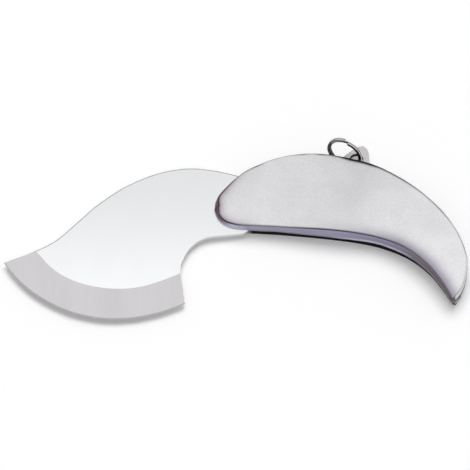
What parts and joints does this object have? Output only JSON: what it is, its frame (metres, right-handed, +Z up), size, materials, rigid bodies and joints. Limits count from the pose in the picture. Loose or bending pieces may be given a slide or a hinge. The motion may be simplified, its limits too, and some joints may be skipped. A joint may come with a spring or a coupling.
{
  "type": "folding knife",
  "caption": "Small slip-joint folding knife with a crescent handle that bares its mechanism, a curved blade and a split ring in a lug on the spine.",
  "frame": {"origin": "a point of the back plate's flat face, on the table under the grip, 22 mm from the pivot towards the tail and level with it", "axes": "the knife lies on its back plate: +X runs from the pivot to the tail with the open blade towards -X, +Y towards the spine, +Z up through the front cover"},
  "size_m": [0.1299, 0.0561, 0.0109],
  "materials": {
    "cast_cover": "die cast, fine blasted, satin",
    "plate_steel": "stamped sheet, satin",
    "blade_steel": "satin flats, ground bevel",
    "spring_steel": "satin",
    "fastener_steel": "satin",
    "ring_steel": "bright plated"
  },
  "bodies": {
    "handle": {"front_cover": "cast_cover", "front_liner": "plate_steel", "back_plate": "plate_steel", "spine_plate": "plate_steel", "back_spring": "spring_steel", "pivot_barrel": "fastener_steel", "pivot_screw": "fastener_steel", "cover_screw_front": "fastener_steel", "cover_screw_middle": "fastener_steel", "spring_pin_front": "fastener_steel", "spring_pin_rear": "fastener_steel", "tail_pillar": "fastener_steel", "tail_pin": "fastener_steel"},
    "blade": {"blade": "blade_steel"},
    "ring": {"split_ring": "ring_steel"}
  },
  "joints": [
    {"name": "blade_fold", "type": "hinge", "parent": "handle", "child": "blade", "pos_m": [-0.022, 0, 0], "axis": [0, 0, 1], "range_deg": [0, 146.5], "deforming": ["back_spring"]},
    {"name": "ring_swivel", "type": "hinge", "parent": "handle", "child": "ring", "pos_m": [0.01158, 0.01765, 0.00195], "axis": [0.7532, -0.1857, 0.631], "range_deg": [-13, 16]}
  ]
}
